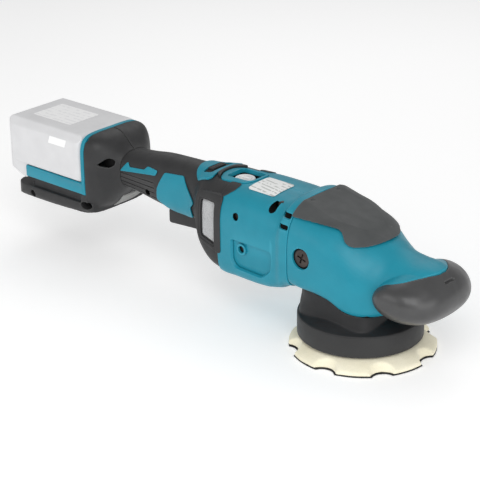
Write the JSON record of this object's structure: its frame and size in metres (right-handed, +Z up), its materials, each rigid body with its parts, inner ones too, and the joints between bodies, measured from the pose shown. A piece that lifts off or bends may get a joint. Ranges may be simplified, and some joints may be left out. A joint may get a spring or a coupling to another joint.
{
  "type": "dual action polisher",
  "caption": "Cordless dual action polisher with an eccentric foam backing pad, dark neck, nose grip, slim trigger handle and slide-on battery pack.",
  "frame": {"origin": "on the drive spindle's axis, at the pad's working face", "axes": "+X runs forward to the nose grip, +Z runs up along the spindle away from the work, and -Y is the operator's right"},
  "size_m": [0.4909, 0.125, 0.1276],
  "materials": {
    "teal_nylon": "glass-filled nylon with a fine moulded texture, satin",
    "elastomer": "soft overmoulded grip rubber, matt",
    "black_nylon": "black moulded nylon, fine grain",
    "battery_grey": "pale grey moulded shell, smooth satin",
    "intake_mesh": "perforated alloy screen, light satin",
    "pad_foam": "cream moulded polyurethane foam, open pores",
    "hook_face": "woven hook face, matt",
    "label": "blank printed film, satin",
    "steel": "machined and hardened steel",
    "alloy": "die-cast alloy, as cast",
    "copper_core": "laminated core with varnished copper windings",
    "circuit_board": "green glass-fibre board with solder mask",
    "dark_screw": "blackened steel screw",
    "cell_can": "sleeved cylindrical cells in nylon holders"
  },
  "bodies": {
    "root": {"switch_body": "black_nylon", "terminal_block": "black_nylon", "lower_spindle_bearing": "steel", "upper_spindle_bearing": "steel", "front_motor_bearing": "steel", "rear_motor_bearing": "steel", "trigger_spring": "steel", "gear_housing": "alloy", "controller": "alloy", "motor_stator": "copper_core", "sensor_board": "circuit_board", "housing_right": "teal_nylon", "housing_left": "teal_nylon", "switch_panel_right": "teal_nylon", "switch_panel_left": "teal_nylon", "grip_insert_right": "teal_nylon", "grip_insert_left": "teal_nylon", "lock_collar": "teal_nylon", "dial_frame": "teal_nylon", "head_cover": "teal_nylon", "cradle_right": "teal_nylon", "cradle_left": "teal_nylon", "handle_right": "elastomer", "handle_left": "elastomer", "head_bumper": "elastomer", "nose_grip": "elastomer", "neck_cover": "elastomer", "skirt_ring": "elastomer", "battery_mount_right": "elastomer", "battery_mount_left": "elastomer", "rating_label": "label", "housing_screw_front": "dark_screw", "housing_screw_upper": "dark_screw", "housing_screw_lower": "dark_screw", "head_screw_right": "dark_screw", "head_screw_left": "dark_screw"},
    "spindle": {"spindle": "steel", "counterweight": "steel", "bevel_gear": "steel", "pad_bearing": "steel"},
    "rotor": {"motor_rotor": "steel", "motor_shaft": "steel", "cooling_fan": "black_nylon", "pinion": "steel"},
    "pad": {"pad_hook_disc": "hook_face", "pad_foam": "pad_foam", "pad_plate": "black_nylon", "pad_stud": "steel", "pad_spindle": "steel"},
    "trigger": {"trigger": "elastomer"},
    "lock_button": {"lock_button": "black_nylon"},
    "speed_dial": {"speed_dial": "label"},
    "battery": {"battery_case": "battery_grey", "battery_cells": "cell_can"},
    "battery_button": {"battery_button": "black_nylon"},
    "intake_right": {"intake_frame_right": "elastomer", "intake_mesh_right": "intake_mesh"},
    "intake_left": {"intake_frame_left": "elastomer", "intake_mesh_left": "intake_mesh"}
  },
  "joints": [
    {"name": "spindle_spin", "type": "hinge", "parent": "root", "child": "spindle", "pos_m": [0, 0, 0.084], "axis": [0, 0, 1], "continuous": true},
    {"name": "rotor_spin", "type": "hinge", "parent": "root", "child": "rotor", "pos_m": [-0.09, 0, 0.084], "axis": [1, 0, 0], "continuous": true},
    {"name": "pad_spin", "type": "hinge", "parent": "spindle", "child": "pad", "pos_m": [0.00275, 0, 0], "axis": [0, 0, 1], "continuous": true},
    {"name": "trigger_pull", "type": "hinge", "parent": "root", "child": "trigger", "pos_m": [-0.1585, 0, 0.076], "axis": [0, 1, 0], "range_deg": [0, 7], "stiffness_Nm_per_rad": 1.2, "springref_deg": -6.88, "deforming": ["trigger_spring"]},
    {"name": "lock_press", "type": "slide", "parent": "root", "child": "lock_button", "axis": [0, 0, -1], "range_m": [0, 0.002], "stiffness_N_per_m": 800, "springref_m": -0.003},
    {"name": "dial_turn", "type": "hinge", "parent": "root", "child": "speed_dial", "pos_m": [-0.1275, 0, 0.114], "axis": [0, 0, 1], "range_deg": [0, 240]},
    {"name": "battery_slide", "type": "slide", "parent": "root", "child": "battery", "axis": [-1, 0, 0], "range_m": [0, 0.12]},
    {"name": "battery_release", "type": "slide", "parent": "battery", "child": "battery_button", "axis": [0, 0, -1], "range_m": [0, 0.003], "stiffness_N_per_m": 600, "springref_m": -0.004},
    {"name": "intake_right_pull", "type": "slide", "parent": "root", "child": "intake_right", "axis": [0, -1, 0], "range_m": [0, 0.02]},
    {"name": "intake_left_pull", "type": "slide", "parent": "root", "child": "intake_left", "axis": [0, 1, 0], "range_m": [0, 0.02]}
  ],
  "couplings": [
    {"joint": "rotor_spin", "follows": "spindle_spin", "ratio": -3.4444}
  ]
}
